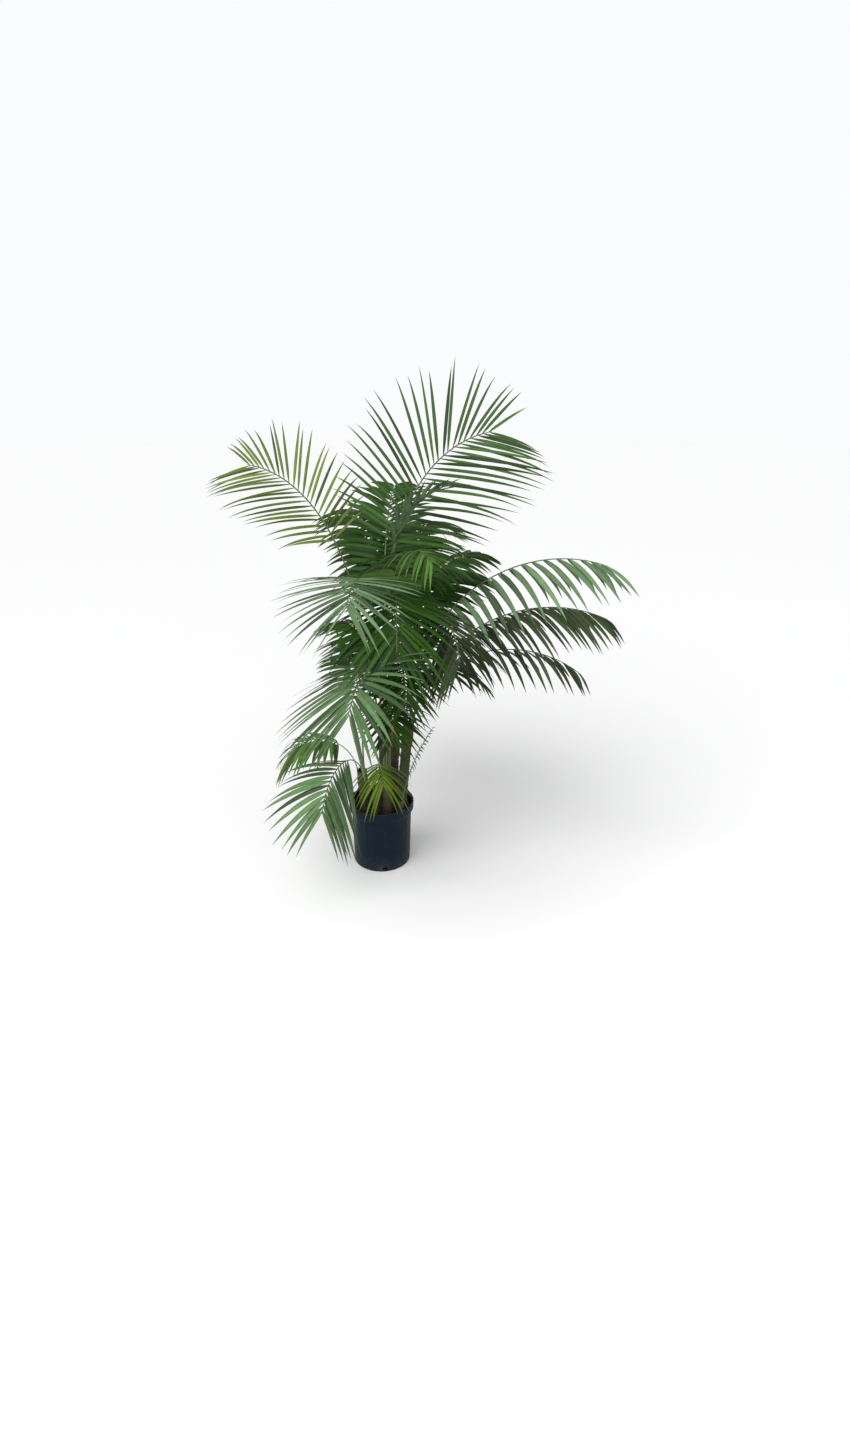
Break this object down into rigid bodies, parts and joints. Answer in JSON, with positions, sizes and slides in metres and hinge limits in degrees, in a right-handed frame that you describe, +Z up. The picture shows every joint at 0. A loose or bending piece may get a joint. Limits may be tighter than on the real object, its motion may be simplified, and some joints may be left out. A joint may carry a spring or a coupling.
{
  "type": "potted majesty palm",
  "caption": "Potted palm: a clump of short ringed stems in a round nursery pot, with long stalks and arching feather fronds of narrow leaflets that reach furthest to one side.",
  "frame": {"origin": "centre of the pot's flat underside, on the floor", "axes": "+Z up; -Y towards the viewer of the reference view, +X to that viewer's right, where the long side fronds reach"},
  "size_m": [1.7865, 1.8639, 2.1908],
  "materials": {
    "pot_plastic": "navy-black blow-moulded nursery pot, satin, lightly dusty",
    "potting_soil": "dark crumbly potting mix with bark chips",
    "stem_bark": "ringed brown stem with dry fibrous leaf bases",
    "leaf_stalk": "smooth ribbed green leaf stalk",
    "leaf_blade": "waxy pleated palm leaflets, satin"
  },
  "bodies": {
    "root": {"frond_back_inner": "leaf_blade", "frond_back_left_upper_blade": "leaf_blade", "frond_back_left_upper_stalk": "leaf_stalk", "frond_back_low_blade": "leaf_blade", "frond_back_low_stalk": "leaf_stalk", "frond_back_middle_blade": "leaf_blade", "frond_back_middle_stalk": "leaf_stalk", "frond_back_right_upper_blade": "leaf_blade", "frond_back_right_upper_stalk": "leaf_stalk", "frond_back_upper_blade": "leaf_blade", "frond_back_upper_stalk": "leaf_stalk", "frond_centre_back_blade": "leaf_blade", "frond_centre_back_stalk": "leaf_stalk", "frond_centre_blade": "leaf_blade", "frond_centre_stalk": "leaf_stalk", "frond_crown_front_blade": "leaf_blade", "frond_crown_front_stalk": "leaf_stalk", "frond_crown_right": "leaf_blade", "frond_foot_front": "leaf_blade", "frond_foot_left": "leaf_blade", "frond_foot_right": "leaf_blade", "frond_left_back": "leaf_blade", "frond_left_low": "leaf_blade", "frond_low_centre_blade": "leaf_blade", "frond_low_centre_stalk": "leaf_stalk", "frond_low_front_blade": "leaf_blade", "frond_low_front_stalk": "leaf_stalk", "frond_low_left_blade": "leaf_blade", "frond_low_left_stalk": "leaf_stalk", "frond_low_right_blade": "leaf_blade", "frond_low_right_stalk": "leaf_stalk", "frond_mid_left_blade": "leaf_blade", "frond_mid_left_stalk": "leaf_stalk", "frond_right_inner_blade": "leaf_blade", "frond_right_inner_stalk": "leaf_stalk", "frond_right_low_blade": "leaf_blade", "frond_right_low_stalk": "leaf_stalk", "frond_right_mid_blade": "leaf_blade", "frond_right_mid_stalk": "leaf_stalk", "frond_right_upper_blade": "leaf_blade", "frond_right_upper_stalk": "leaf_stalk", "frond_spear": "leaf_blade", "frond_top_back": "leaf_blade", "frond_top_left_blade": "leaf_blade", "frond_top_left_stalk": "leaf_stalk", "frond_top_right_blade": "leaf_blade", "frond_top_right_stalk": "leaf_stalk", "pot": "pot_plastic", "soil": "potting_soil", "stem_back": "stem_bark", "stem_front": "stem_bark", "stem_left": "stem_bark", "stem_right": "stem_bark", "stem_shoot": "stem_bark", "stem_sprout": "stem_bark", "stem_tall": "stem_bark"}
  },
  "joints": []
}
